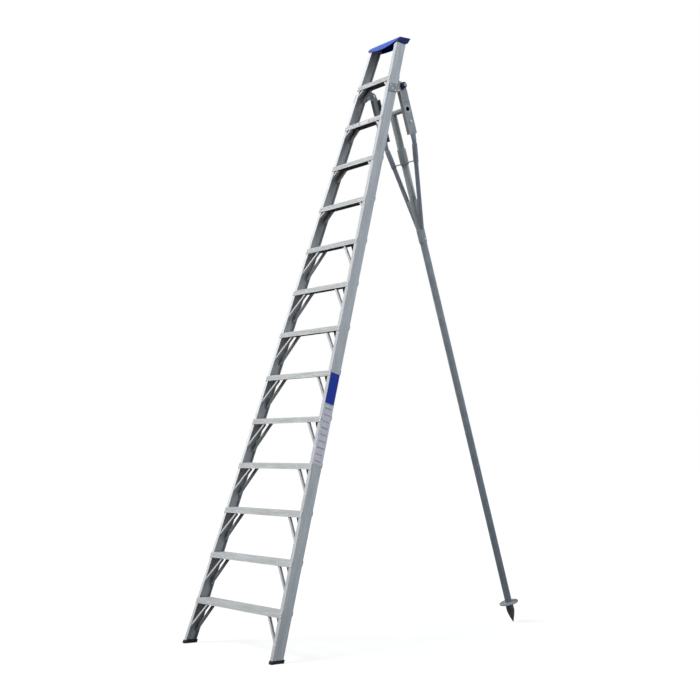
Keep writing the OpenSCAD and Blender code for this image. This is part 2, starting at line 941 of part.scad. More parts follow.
module socket_bolt_hole() {
    translate([0, 0, -socket_bolt_s])
        bar_x(socket_bolt_d + 2 * fit, -socket_d, socket_d);
}

module leg_socket() {
    color("dimgray")
        leg_frame()
            difference() {
                tube_s(socket_d, pole_d + 2 * fit, socket_top, socket_top + socket_length);
                socket_bolt_hole();
            }
}

module socket_bolt() {
    reach = socket_d / 2 + fit;
    color("whitesmoke")
        leg_frame()
            translate([0, 0, -socket_bolt_s]) {
                bar_x(socket_bolt_d, -reach - socket_head, reach + socket_head);
                for (side = [LEFT, RIGHT])
                    scale_side(side)
                        hex_x(socket_hex, reach, reach + socket_head);
            }
}

module leg_pole() {
    color("lightslategray")
        leg_frame()
            difference() {
                tube_s(pole_d, pole_d - 2 * pole_wall, pole_top_s + fit, pole_end_s);
                socket_bolt_hole();
            }
}

module ground_disc() {
    color("gainsboro")
        leg_frame()
            translate([0, 0, -disc_s - disc_t])
                cylinder(d = disc_d, h = disc_t);
}

// Half width of the spike at a distance below the disc: a swell, then an ogive
function spike_half(t) =
    t < spike_swell
    ? spike_neck / 2 + (spike_d - spike_neck) / 2 * sin(90 * t / spike_swell)
    : spike_tip + (spike_d / 2 - spike_tip) * (1 - pow((t - spike_swell) / spike_taper, spike_ogive));

// Length of the ogive, from the swell to the centre of the blunt tip
spike_taper = spike_length - spike_swell - spike_tip;

module spike() {
    steps = 14;
    end = spike_length - spike_tip;
    color("black")
        leg_frame()
            translate([0, 0, -spike_top_s]) {
                rotate_extrude()
                    polygon(concat(
                        [[0, 0]],
                        [for (j = [0:steps]) [spike_half(end * j / steps), -end * j / steps]],
                        [[0, -end]]
                    ));
                translate([0, 0, -end])
                    sphere(r = spike_tip);
            }
}

stile(LEFT);  // stile_left
stile(RIGHT);  // stile_right
for (i = [1:tread_count]) {
    tread(i);
    braces(i);
}
top_cap();
shoe(LEFT);  // shoe_left
shoe(RIGHT);  // shoe_right
hinge_bracket(LEFT);  // hinge_bracket_left
hinge_bracket(RIGHT);  // hinge_bracket_right
hinge_bolt(LEFT);  // hinge_bolt_left
hinge_bolt(RIGHT);  // hinge_bolt_right
hinge_nut(LEFT);  // hinge_nut_left
hinge_nut(RIGHT);  // hinge_nut_right
arm(LEFT);  // arm_left
arm(RIGHT);  // arm_right
hinge_bush(LEFT);  // hinge_bush_left
hinge_bush(RIGHT);  // hinge_bush_right
cross_tube();
centre_tube();
centre_collar();
tie_rod();
strut(LEFT);  // strut_left
strut(RIGHT);  // strut_right
strut_sleeve(LEFT);  // strut_sleeve_left
strut_sleeve(RIGHT);  // strut_sleeve_right
strut_bolt(LEFT);  // strut_bolt_left
strut_bolt(RIGHT);  // strut_bolt_right
gusset_plates();
leg_socket();
socket_bolt();
leg_pole();
ground_disc();
spike();
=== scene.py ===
"""Looks of a cherry picking ladder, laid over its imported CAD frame."""

import json
import math
from functools import cached_property

import bmesh
import bpy
from bpy.props import FloatProperty, FloatVectorProperty, IntProperty, PointerProperty
from mathutils import Matrix, Vector

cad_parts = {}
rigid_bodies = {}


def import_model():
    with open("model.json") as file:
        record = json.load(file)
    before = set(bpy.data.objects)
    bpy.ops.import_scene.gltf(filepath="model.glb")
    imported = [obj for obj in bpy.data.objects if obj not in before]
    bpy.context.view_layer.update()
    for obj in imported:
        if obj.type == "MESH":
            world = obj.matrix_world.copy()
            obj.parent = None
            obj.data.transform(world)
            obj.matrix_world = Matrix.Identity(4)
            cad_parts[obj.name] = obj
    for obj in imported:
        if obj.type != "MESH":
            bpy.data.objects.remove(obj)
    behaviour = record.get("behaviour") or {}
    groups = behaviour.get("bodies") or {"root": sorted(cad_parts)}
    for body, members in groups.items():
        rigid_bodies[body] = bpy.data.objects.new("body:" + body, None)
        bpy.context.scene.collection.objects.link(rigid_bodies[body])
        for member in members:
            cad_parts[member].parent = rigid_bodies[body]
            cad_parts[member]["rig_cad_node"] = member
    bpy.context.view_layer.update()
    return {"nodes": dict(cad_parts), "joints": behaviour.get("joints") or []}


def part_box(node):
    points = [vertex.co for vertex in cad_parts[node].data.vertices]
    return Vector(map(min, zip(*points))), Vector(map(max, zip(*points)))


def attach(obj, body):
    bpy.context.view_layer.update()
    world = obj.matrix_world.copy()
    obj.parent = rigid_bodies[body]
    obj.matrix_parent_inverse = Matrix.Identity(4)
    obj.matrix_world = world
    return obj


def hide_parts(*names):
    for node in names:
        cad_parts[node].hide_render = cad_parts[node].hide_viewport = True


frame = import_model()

bl_info = {
    "name": "Cherry picking ladder",
    "version": (1, 0, 0),
    "blender": (4, 5, 0),
    "location": "3D View > Sidebar > Ladder",
    "description": "Rivets, welds, labels, finishes and studio for the cherry picking ladder",
    "category": "Object",
}

MM = 0.001
SIDES = {"left": -1, "right": 1}

# The step frame, in metres: x across, w back from the stiles' front face, v up the slope
LEAN = math.radians(17.4)
TREADS = 13
LONG_BRACED = 9
PITCH = 0.300
CAP_V = TREADS * PITCH + 0.298
CAP_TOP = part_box("top_cap")[1].z
BASE_HALF = 1.079 / 2
TOP_HALF = 0.310 / 2
SLOPE = (BASE_HALF - TOP_HALF) / CAP_V
STILE_DEPTH = 0.073
LIP_FRONT = -0.0024
LIP_REAR = STILE_DEPTH - LIP_FRONT
REAR_RISE = (LIP_REAR - LIP_FRONT) * math.tan(LEAN)

# The braces' rivets: drop, reach along front and rear lip; distances from the edges
LONG_BRACE = (0.190, 0.160, 0.150)
SHORT_BRACE = (0.080, 0.070, 0.070)
BRACE_EDGE, LIP_RIVET_DROP = 0.015, 0.018

# The treads' rivets in pairs: drops, and distance from the stile's face
FRONT_PAIR, FRONT_EDGE = (0.009, 0.026), 0.011
REAR_PAIR, REAR_EDGE = (0.008, 0.022), 0.010

# The brackets' rivets: back from the stile's front face, and down from the pad's top edge
PAD_RIVETS = ((0.014, 0.014), (0.060, 0.012), (0.036, 0.038), (0.062, 0.049))
PAD_DROP, PAD_FACE = 0.041, 5.2 * MM

# The rear leg: x across, b to its rear and s down the leg from the pivot
LEG_FOLD = next(j for j in frame["joints"] if j["name"] == "leg_fold")
PIVOT = Vector(LEG_FOLD["pos_m"])
PIVOT_V = TREADS * PITCH - 0.018
PIVOT_W = STILE_DEPTH + 0.0485
LEG_TILT = math.radians(16.31)
ARM_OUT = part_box("arm_right")[1].x
ARM_IN = ARM_OUT - 0.003
POLE_R, CROSS_R, STRUT_R = 0.02415, 0.01685, 0.015
CROSS_S = 0.158
SOCKET_TOP = 0.969
STRUT_TOP_X, STRUT_FOOT_X, STRUT_TOP_S = 0.165, 0.018, 0.335
STRUT_SLOPE = (STRUT_TOP_X - STRUT_FOOT_X) / (SOCKET_TOP - STRUT_TOP_S)
STRUT_ANGLE = math.atan(STRUT_SLOPE)
COLLAR_TOP, COLLAR_FOOT = 0.406, 0.512
SLEEVE_TOP, SLEEVE_LENGTH = 0.395, 0.123
GUSSET_TOP, GUSSET_FOOT, GUSSET_B = 0.763, 0.905, -0.012
DISC_S, DISC_T = 3.67746, 0.005
SPIKE_NECK_R = 0.0265

# The ear lapped on each arm: half its width, its ends and its seam
LAP_HALF, LAP_TOP, LAP_FOOT, LAP_SEAM = 22 * MM, 0.025, 0.107, 0.110

# The pale label's even bands, and the strip on the twelfth tread's lip with its two blocks
LABEL_BANDS, BANDS_HALF = 9, 0.025
STRIP_X, STRIP_V = 0.0125, 12 * PITCH - 0.0175
BLOCK_X, BLOCK_HALF = 0.0555, 9 * MM

# Noise of the finishes, in waves per metre: two ways across and one along the metal
DIE_LINES = (420.0, 420.0, 2.2)
CLOUDS = (16.0, 16.0, 5.0)
STREAKS = (75.0, 75.0, 5.0)
SCUFFS = (260.0, 30.0, 75.0)
METAL_GRAIN = (900.0, 900.0, 900.0)
ROLL_MARKS = (160.0, 300.0, 40.0)
BRACE_CLOUDS = (25.0, 25.0, 25.0)
ZINC_RUNS = 4.0

# Where soil, the painted highlight and the painted shade start and how far they fade, up the slope
SOIL_V, SOIL_FADE = 0.02, 0.48
HIGHLIGHT_V, HIGHLIGHT_FADE = -0.2, 1.1
SHADE_V, SHADE_FADE = 0.6, 1.8
SPECULAR = 0.2

# The studio; each lamp has azimuth, elevation, strength, angle and tint
WHITE = (1.0, 1.0, 1.0, 1.0)
LAMPS = {
    "key": (-15, 45, 3.5, 35, WHITE),
    "side": (98.4, 25, 1.5, 18, (0.82, 0.92, 1.0, 1.0)),
    "rear": (200, 45, 0.35, 40, WHITE),
}
LAMP_REACH = 8.0
FLOOR_SIZE, FLOOR_DROP = 80.0, 0.5 * MM
FLOOR_PALE, FLOOR_DULL, FLOOR_GLOW = (0.2, 0.2, 0.2, 1.0), (0.03, 0.03, 0.03, 1.0), 0.80
SKY, SKY_LIGHT = (0.86, 0.93, 1.0, 1.0), 0.24
CAMERA_AT = (7.0463, -5.2177, 1.2478)
CAMERA_YAW, CAMERA_PITCH, CAMERA_ROLL = 54.756, 4.205, -0.423
CAMERA_LENS, CAMERA_SENSOR, CAMERA_REACH = 67.47, 36.0, 200.0

MID_Y = PIVOT_V * math.sin(LEAN) + PIVOT_W * math.cos(LEAN) - PIVOT.y
BACK = Vector((0, math.cos(LEAN), -math.sin(LEAN)))
UP = Vector((0, math.sin(LEAN), math.cos(LEAN)))
LEG_REAR = Vector((0, math.cos(LEG_TILT), math.sin(LEG_TILT)))
LEG_UP = Vector((0, -math.sin(LEG_TILT), math.cos(LEG_TILT)))


# Places


def half_width(v):
    """Half the width over the stiles at a height up the slope."""
    return BASE_HALF - v * SLOPE


def ladder(x, w, v):
    """A point of the step frame."""
    return Vector((x, -MID_Y, 0)) + w * BACK + v * UP


def leg(x, b, s):
    """A point of the rear leg."""
    return PIVOT + Vector((x, 0, 0)) + b * LEG_REAR - s * LEG_UP


def stile_out(side):
    """The direction in which a stile's outer face looks."""
    return (Vector((side, 0, 0)) + SLOPE * UP).normalized()


def strut_x(s):
    """Distance of a strut's axis from the middle plane."""
    return STRUT_TOP_X - (s - STRUT_TOP_S) * STRUT_SLOPE


def chord(radius, b):
    """Half the width of a tube at a distance from its middle."""
    return math.sqrt(max(0.0, radius ** 2 - b ** 2))


def facing(point, normal):
    """A placement at a point, with its z axis along the normal."""
    turn = normal.to_track_quat("Z", "Y").to_matrix().to_4x4()
    return Matrix.Translation(point) @ turn


def framed(point, x, y, z):
    """A placement at a point, with its three axes given."""
    return Matrix.Translation(point) @ Matrix((x, y, z)).transposed().to_4x4()


# Modelling


def only(*objects):
    """Selects these objects alone; the last one becomes active."""
    bpy.ops.object.select_all(action="DESELECT")
    for obj in objects:
        obj.select_set(True)
        bpy.context.view_layer.objects.active = obj


def edit(obj):
    """Opens a piece in edit mode with all of it selected."""
    only(obj)
    bpy.ops.object.mode_set(mode="EDIT")
    bpy.ops.mesh.select_all(action="SELECT")


def leave_edit():
    bpy.ops.object.mode_set(mode="OBJECT")


def rest_in_mesh():
    """Moves the selection's place, turn and scale into its mesh."""
    bpy.ops.object.transform_apply(location=True, rotation=True, scale=True)


def pick_faces(obj, test):
    """Selects, in edit mode, the faces for which the test holds."""
    bpy.ops.mesh.select_mode(type="FACE")
    bpy.ops.mesh.select_all(action="DESELECT")
    mesh = bmesh.from_edit_mesh(obj.data)
    chosen = [face for face in mesh.faces if test(face)]
    if not chosen:
        raise RuntimeError(f"{obj.name}: no face was found to shape")
    for face in chosen:
        face.select_set(True)
    bmesh.update_edit_mesh(obj.data)


def modify(obj, kind, **settings):
    """Adds a modifier and applies it."""
    only(obj)
    modifier = obj.modifiers.new(kind.title(), kind)
    for key, value in settings.items():
        setattr(modifier, key, value)
    bpy.ops.object.modifier_apply(modifier=modifier.name)


def smooth(obj, degrees=35):
    """Shades a piece smooth, up to an angle."""
    only(obj)
    bpy.ops.object.shade_smooth_by_angle(angle=math.radians(degrees))


def settle(obj, name, body, finish):
    """Names a piece and gives it body, slot and finish."""
    only(obj)
    rest_in_mesh()
    obj.name = obj.data.name = name
    obj.data.materials.clear()
    obj.data.materials.append(finish_of(finish))
    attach(obj, body)


def joined(parts):
    """Joins pieces into the last of them."""
    only(*parts)
    bpy.ops.object.join()
    return bpy.context.object


def copied(master, places):
    """Copies of a master at all placements, joined."""
    made = []
    for place in places:
        only(master)
        bpy.ops.object.duplicate()
        made.append(bpy.context.object)
        made[-1].matrix_world = place
    only(*made)
    rest_in_mesh()
    return joined(made)


def stand_in(node, name, slot, radius, segments=2, shape=None):
    """A rounded copy of a CAD node of the ladder, shown in its place."""
    only(frame["nodes"][node])
    bpy.ops.object.duplicate()
    piece = bpy.context.object
    del piece["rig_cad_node"]
    bpy.ops.mesh.customdata_custom_splitnormals_clear()
    edit(piece)
    bpy.ops.mesh.remove_doubles(threshold=0.01 * MM)
    bpy.ops.mesh.dissolve_limited(angle_limit=math.radians(0.2))
    leave_edit()
    if shape:
        shape(piece)
    modify(
        piece, "BEVEL", width=radius, segments=segments, limit_method="ANGLE",
        angle_limit=math.radians(40), miter_outer="MITER_ARC",
    )
    smooth(piece)
    settle(piece, name, "ladder", slot)
    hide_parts(node)


# Materials


class Value:
    """A socket of a node tree; arithmetic on it adds Math nodes."""

    def __init__(self, nodes, socket):
        self.nodes, self.socket = nodes, socket

    def result(self, operation, a, b=0.0):
        return self.nodes.node("ShaderNodeMath", {"operation": operation}, {0: a, 1: b})

    def __add__(self, other):
        return self.result("ADD", self, other)

    def __radd__(self, other):
        return self.result("ADD", other, self)

    def __sub__(self, other):
        return self.result("SUBTRACT", self, other)

    def __rsub__(self, other):
        return self.result("SUBTRACT", other, self)

    def __mul__(self, other):
        return self.result("MULTIPLY", self, other)

    def __rmul__(self, other):
        return self.result("MULTIPLY", other, self)

    def __abs__(self):
        return self.result("ABSOLUTE", self)

    def most(self, other):
        return self.result("MAXIMUM", self, other)

    def least(self, other):
        return self.result("MINIMUM", self, other)

    def part(self):
        """What is left after the whole number is taken off."""
        return self.result("FRACT", self)


class Nodes:
    """A node tree that is written as Python expressions."""

    def __init__(self, owner):
        owner.use_nodes = True
        self.tree = owner.node_tree
        self.tree.nodes.clear()

    def node(self, kind, settings=None, inputs=None, output=0):
        """Adds a node, its settings first, and returns one of its outputs, if it has any."""
        made = self.tree.nodes.new(kind)
        for key, value in (settings or {}).items():
            setattr(made, key, value)
        for key, value in (inputs or {}).items():
            if isinstance(value, Value):
                self.tree.links.new(value.socket, made.inputs[key])
            else:
                made.inputs[key].default_value = value
        return Value(self, made.outputs[output]) if made.outputs else None

    @cached_property
    def place(self):
        """The three Object coordinates, in metres."""
        where = self.node("ShaderNodeTexCoord", output="Object")
        x = self.node("ShaderNodeSeparateXYZ", {}, {0: where})
        return [Value(self, socket) for socket in x.socket.node.outputs]

    def vector(self, x, y, z):
        return self.node("ShaderNodeCombineXYZ", {}, {0: x, 1: y, 2: z})

    @cached_property
    def ladder_axes(self):
        """u across from the middle as wide as at the foot, w back and v up the slope."""
        x, y, z = self.place
        y = y + MID_Y
        v = y * math.sin(LEAN) + z * math.cos(LEAN)
        w = y * math.cos(LEAN) - z * math.sin(LEAN)
        return abs(x) + v * SLOPE, w, v

    @cached_property
    def leg_axes(self):
        """x across, b to the rear and s down the leg."""
        x, y, z = self.place
        y, z = y - PIVOT.y, z - PIVOT.z
        b = y * math.cos(LEG_TILT) + z * math.sin(LEG_TILT)
        s = y * math.sin(LEG_TILT) - z * math.cos(LEG_TILT)
        return x, b, s

    def noise(self, where, rate, detail, low=0.3, high=0.7):
        """Noise at a rate in waves per metre, 0 at low and 1 at high."""
        inputs = {"Vector": where, "Scale": rate, "Detail": detail}
        return self.spread(self.node("ShaderNodeTexNoise", {}, inputs), low, high)

    def grain(self, axes, rates, *rest):
        """Noise with a rate of its own along each of three axes."""
        scaled = [axis * rate for axis, rate in zip(axes, rates)]
        return self.noise(self.vector(*scaled), 1.0, *rest)

    def spread(self, value, low, high):
        """0 at low, 1 at high."""
        inputs = {"Value": value, "From Min": low, "From Max": high}
        return self.node("ShaderNodeMapRange", {}, inputs)

    def over(self, value, limit, fade):
        """0 up to a limit, rising to 1 past it."""
        return self.spread(value, limit, limit + fade)

    def under(self, value, limit, fade):
        """1 up to a limit, falling to 0 past it."""
        return self.spread(value, limit + fade, limit)

    def on_right(self):
        """1 on the right half of the ladder, 0 on the left."""
        return self.over(self.place[0], -0.05, 0.1)

    def mix(self, share, a, b, most=1.0):
        """Colour a where the share is 0, and at most so much of b where it is 1."""
        if most < 1.0:
            share = share * most
        colours = [c if isinstance(c, Value) else (*c, 1.0) for c in (a, b)]
        inputs = {0: share, 6: colours[0], 7: colours[1]}
        return self.node("ShaderNodeMix", {"data_type": "RGBA"}, inputs, 2)

    def tones(self, share, base, dark, light):
        """From a darker to a lighter shade of a base."""
        return self.mix(share, shade(base, dark), shade(base, light))

    def tint(self, colour, by):
        """One colour multiplied by another."""
        settings = {"data_type": "RGBA", "blend_type": "MULTIPLY"}
        return self.node("ShaderNodeMix", settings, {0: 1.0, 6: colour, 7: by}, 2)

    def bump(self, height, distance):
        """A normal that follows a height."""
        inputs = {"Height": height, "Distance": distance, "Strength": 1.0}
        return self.node("ShaderNodeBump", {}, inputs)


def shade(colour, factor):
    """A colour made darker or lighter."""
    return tuple(channel * factor for channel in colour)


def close_finish(nodes, colour, roughness, normal, metallic):
    """Ends a finish in one Principled shader."""
    inputs = {
        "Base Color": colour, "Roughness": roughness, "Normal": normal,
        "Metallic": metallic, "Specular IOR Level": SPECULAR,
    }
    surface = nodes.node("ShaderNodeBsdfPrincipled", {}, inputs)
    nodes.node("ShaderNodeOutputMaterial", {}, {"Surface": surface})


def drawn_aluminium(nodes, colours, base, order, painted_light):
    """Extruded aluminium: die lines, clouds, streaks and a fine grain, duller lower down."""
    places = dict(zip("uwv", nodes.ladder_axes), x=nodes.place[0])
    axes = [places[letter] for letter in order]
    lines = nodes.grain(axes, DIE_LINES, 3.0)
    clouds = nodes.grain(axes, CLOUDS, 4.0)
    streaks = nodes.grain(axes, STREAKS, 3.0)
    scuffs = nodes.grain(axes, SCUFFS, 2.0, 0.62, 0.72)
    grain = nodes.grain(axes, METAL_GRAIN, 1.0)
    blend = lines * 0.25 + clouds * 0.25 + streaks * 0.5
    tone = nodes.tones(blend, base, dark=0.72, light=1.22)
    tone = nodes.mix(grain, tone, shade(base, 0.62), most=0.16)
    tone = nodes.mix(scuffs, tone, shade(base, 1.3), most=0.3)
    soiled = nodes.under(places["v"], SOIL_V, SOIL_FADE) * clouds
    tone = nodes.mix(soiled, tone, colours.soil, most=0.35)
    # The marks passed in paint light: a highlight on the left stile's front face, shade under and
    # between the treads
    tone = painted_light(nodes, darker_low(nodes, tone, places["v"], colours), colours)
    rough = 0.42 + clouds * 0.16 + lines * 0.05 - scuffs * 0.06
    normal = nodes.bump(lines * 0.7 + grain * 0.3, 0.06 * MM)
    close_finish(nodes, tone, rough, normal, 0.06)


def darker_low(nodes, tone, v, colours):
    """Aluminium that is darker towards the ground."""
    height = nodes.spread(v, 0.0, CAP_V)
    return nodes.tint(tone, nodes.mix(height, colours.dulled, colours.clean))


def stile_highlight(nodes, tone, colours):
    """A painted highlight on the left stile's front face, stronger away from the ground."""
    _, w, v = nodes.ladder_axes
    front = nodes.under(w, 0.5 * MM, MM) * (1.0 - nodes.on_right())
    rubbed = front * nodes.over(v, HIGHLIGHT_V, HIGHLIGHT_FADE)
    return nodes.mix(rubbed, tone, colours.rubbed, most=0.4)


def tread_shade(nodes, tone, colours):
    """Painted shade inside the treads: below their plates and between their lips."""
    z, w = nodes.place[2], nodes.ladder_axes[1]
    step = PITCH * math.cos(LEAN)
    level = ((z + LIP_FRONT * math.sin(LEAN)) * (1.0 / step)).part()
    below = nodes.spread(level, 1.0 - 1.2 * MM / step, 1.0 - 2.0 * MM / step)
    below = below * nodes.spread(level, 0.4, 0.5)
    within = nodes.over((w - LIP_FRONT).least(LIP_REAR - w), 0.8 * MM, 0.6 * MM)
    return nodes.mix(below * within, tone, colours.dust, most=0.6)


def brace_aluminium(nodes, colours, base):
    """Pressed strip with fine roll marks; painted shade inside, stronger lower down, apart from the
    right front braces.
    """
    axes = u, w, v = nodes.ladder_axes
    marks = nodes.grain(axes, ROLL_MARKS, 3.0)
    clouds = nodes.grain(axes, BRACE_CLOUDS, 3.0)
    tone = nodes.tones(marks * 0.5 + clouds * 0.5, base, dark=0.86, light=1.08)
    tone = darker_low(nodes, tone, v, colours)
    # Painted shade on the braces' sides and insides, fading out towards the stiles
    inside = nodes.over(w.least(STILE_DEPTH - w), 5 * MM, 3 * MM)
    right_front = nodes.on_right() * nodes.under(w, 28 * MM, 17 * MM)
    inside = inside * (1.0 - right_front) * nodes.over(BASE_HALF - u, 0.02, 0.11)
    shade_share = 0.25 + nodes.under(v, SHADE_V, SHADE_FADE) * 0.45
    tone = nodes.mix(inside * shade_share, tone, colours.dust)
    close_finish(nodes, tone, 0.42 + clouds * 0.18, nodes.bump(marks, 0.08 * MM), 0.06)


def moulded_plastic(nodes, colours, base, scuff, roughness, grain, marks=None):
    """Moulded plastic with a spark-eroded grain and pale rubbed patches."""
    where = nodes.vector(*nodes.place)
    sparks = nodes.noise(where, 1.0 / grain, 2.0)
    flow = nodes.noise(where, 14.0, 3.0)
    rub = nodes.noise(where, 55.0, 4.0, 0.6, 0.74)
    tone = nodes.tones(flow, base, dark=0.85, light=1.12)
    tone = nodes.mix(rub, tone, getattr(colours, scuff), most=0.35)
    # The cap's marks paint a paler blue below its top and a highlight on its front lip
    if marks:
        tone = marks(nodes, tone, colours)
    rough = roughness + flow * 0.1 + rub * 0.12
    close_finish(nodes, tone, rough, nodes.bump(sparks, 0.12 * MM), 0.0)


def cap_painted_light(nodes, tone, colours):
    """Painted light: a paler blue below the top between the end walls, and a painted highlight on
    the front lip below its top edge.
    """
    u, w, _ = nodes.ladder_axes
    down = CAP_TOP - nodes.place[2]
    inside = nodes.over(down, 5 * MM, 4 * MM) * nodes.over(BASE_HALF - u, 0.0, 2 * MM)
    tone = nodes.mix(inside, tone, colours.cap_inside, most=0.8)
    lip = nodes.under(w, -6 * MM, 9 * MM) * nodes.over(down, 3 * MM, 10 * MM)
    return nodes.mix(lip, tone, colours.cap_lip)


def zinc_coat(nodes, colours, base, stain, spangle, runs, marks=None):
    """Hot-dip zinc on steel: spangles of a size, runs at a rate, and stained patches."""
    axes = nodes.leg_axes
    where = nodes.vector(*axes)
    cells = {"Vector": where, "Scale": 1.0 / spangle}
    flakes = nodes.node("ShaderNodeTexVoronoi", {}, cells, "Color")
    flakes = nodes.node("ShaderNodeSeparateColor", {}, {0: flakes})
    streaks = nodes.grain(axes, (runs, runs, ZINC_RUNS), 3.0)
    stains = nodes.noise(where, 22.0, 5.0)
    grain = nodes.noise(where, 700.0, 1.0)
    tone = nodes.tones(flakes * 0.5 + streaks * 0.5, base, dark=0.74, light=1.22)
    tone = nodes.mix(stains, tone, getattr(colours, stain), most=0.5)
    tone = nodes.mix(grain, tone, shade(base, 0.6), most=0.2)
    # Marks passed in paint shade in the arms and the cross tube's bore, and light on the centre
    # tube's shaft
    if marks:
        tone = marks(nodes, tone, colours)
    rough = 0.46 + flakes * 0.14 + stains * 0.14
    normal = nodes.bump(stains * 0.6 + grain * 0.4, 0.15 * MM)
    close_finish(nodes, tone, rough, normal, 0.04)


def round_cross(nodes, full, none):
    """1 within a radius of the cross tube's axis, 0 past another."""
    _, b, s = nodes.leg_axes
    drop = s - CROSS_S
    return nodes.spread(b * b + drop * drop, none ** 2, full ** 2)


def arm_marks_and_shade(nodes, tone, colours):
    """Painted shade inside; paler on the lapped ear and round the cross tube, with a dark seam
    across the ear.
    """
    x, b, s = nodes.leg_axes
    inner = nodes.under(abs(x), ARM_IN + 0.2 * MM, 0.3 * MM)
    outer = 1.0 - inner
    # Painted shade on the arm's inner face
    tone = nodes.mix(inner, tone, colours.dust, most=0.6)
    lap = outer * nodes.under(abs(b), LAP_HALF, 2 * MM) * nodes.over(s, LAP_TOP, 5 * MM)
    tone = nodes.mix(lap * nodes.under(s, LAP_FOOT, 2 * MM), tone, colours.lap, most=0.5)
    seam = nodes.under(abs(s - LAP_SEAM), 1.5 * MM, 1.5 * MM)
    tone = nodes.mix(lap * seam, tone, colours.dust, most=0.5)
    ring = outer * round_cross(nodes, CROSS_R + 7 * MM, CROSS_R + 11 * MM)
    return nodes.mix(ring, tone, colours.fresh_zinc, most=0.5)


def cross_bore_shade(nodes, tone, colours):
    """Painted shade inside the tube's bore."""
    bore = round_cross(nodes, CROSS_R - 2 * MM, CROSS_R - MM)
    return nodes.mix(bore, tone, colours.soot, most=0.95)


def tube_painted_light(nodes, tone, colours):
    """Painted light: paler on the shaft between the collar and the gusset plates."""
    s, fade = nodes.leg_axes[2], 40 * MM
    shaft = nodes.over(s, COLLAR_FOOT, fade) * nodes.under(s, GUSSET_TOP - fade, fade)
    return nodes.mix(shaft, tone, colours.fresh_zinc, most=0.35)


def pole_marks(nodes, tone, colours):
    """Duller towards the ground."""
    low = nodes.spread(nodes.leg_axes[2], SOCKET_TOP, DISC_S)
    return nodes.tint(tone, nodes.mix(low, colours.clean, colours.foot))


def coated(
    nodes, colours, base, film, tones, rough, relief, metallic=0.0,
    marks=None, sloped=False, grain=None,
):
    """A thin coat with a film in patches, which vary its tones and add to its roughness."""
    where = nodes.vector(*(nodes.ladder_axes if sloped else nodes.place))
    patches = nodes.noise(where, *film)
    tone = nodes.tones(patches, base, *tones)
    if marks:
        tone = marks(nodes, tone, colours, patches)
    height = nodes.noise(where, grain, 1.0) if grain else patches
    rough = rough[0] + patches * rough[1]
    close_finish(nodes, tone, rough, nodes.bump(height, relief), metallic)


def pale_bands(nodes, tone, colours, fade):
    """Plain even bands across the pale label: every third is dark, the others are red."""
    sizes = bpy.context.scene.ladder_sizes
    _, w, v = nodes.ladder_axes
    inner = nodes.under(abs(w - STILE_DEPTH / 2), BANDS_HALF, MM)
    for k in range(LABEL_BANDS):
        middle = sizes.label_foot + (k + 0.5) * sizes.label_length / LABEL_BANDS
        band = nodes.under(abs(v - middle), sizes.band / 2, 0.4 * MM)
        ink = colours.stripe_dark if k % 3 == 2 else colours.stripe_red
        tone = nodes.mix(band * inner * (0.4 + fade * 0.3), tone, ink)
    return tone


def strip_blocks(nodes, tone, colours, fade):
    """A plain faded block near each end of the strip."""
    off = abs(abs(nodes.place[0] - STRIP_X) - BLOCK_X)
    block = nodes.under(off, BLOCK_HALF, MM)
    return nodes.mix(block, tone, colours.stripe_red, most=0.7)


def spike_iron(nodes, colours, base):
    """Blackened forged iron: hammer flats, scale and dry soil towards the point."""
    axes = nodes.leg_axes
    where = nodes.vector(*axes)
    flats = nodes.noise(where, 70.0, 2.0)
    scale = nodes.noise(where, 320.0, 4.0)
    tone = nodes.tones(flats, base, dark=0.7, light=1.6)
    soiled = nodes.over(axes[2], DISC_S + 0.06, 0.09) * scale
    tone = nodes.mix(soiled, tone, colours.soil, most=0.35)
    normal = nodes.bump(flats * 0.7 + scale * 0.3, 0.7 * MM)
    close_finish(nodes, tone, 0.5 + scale * 0.2, normal, 0.15)


# Thin coats: rate and detail of the film, tones, roughness, relief, metallic share, marks,
# whether the film follows the slope, and the rate of a finer grain
PLATE = (coated, (120.0, 3.0), (0.8, 1.08), (0.26, 0.16), 0.05 * MM, 0.45, None, False, 900.0)
RIVET = (coated, (260.0, 3.0), (0.82, 1.06), (0.3, 0.15), 0.06 * MM, 0.35)
WELD = (coated, (180.0, 4.0), (0.7, 1.1), (0.5, 0.2), 0.2 * MM, 0.04)
VINYL = (coated, (60.0, 4.0), (0.85, 1.15), (0.3, 0.15), 0.08 * MM, 0.0, None, True)
FOIL = (coated, (50.0, 4.0), (0.85, 1.12), (0.4, 0.15), 0.08 * MM, 0.0, pale_bands, True)
STRIP = (coated, (90.0, 3.0), (0.9, 1.1), (0.45, 0.15), 0.05 * MM, 0.0, strip_blocks)

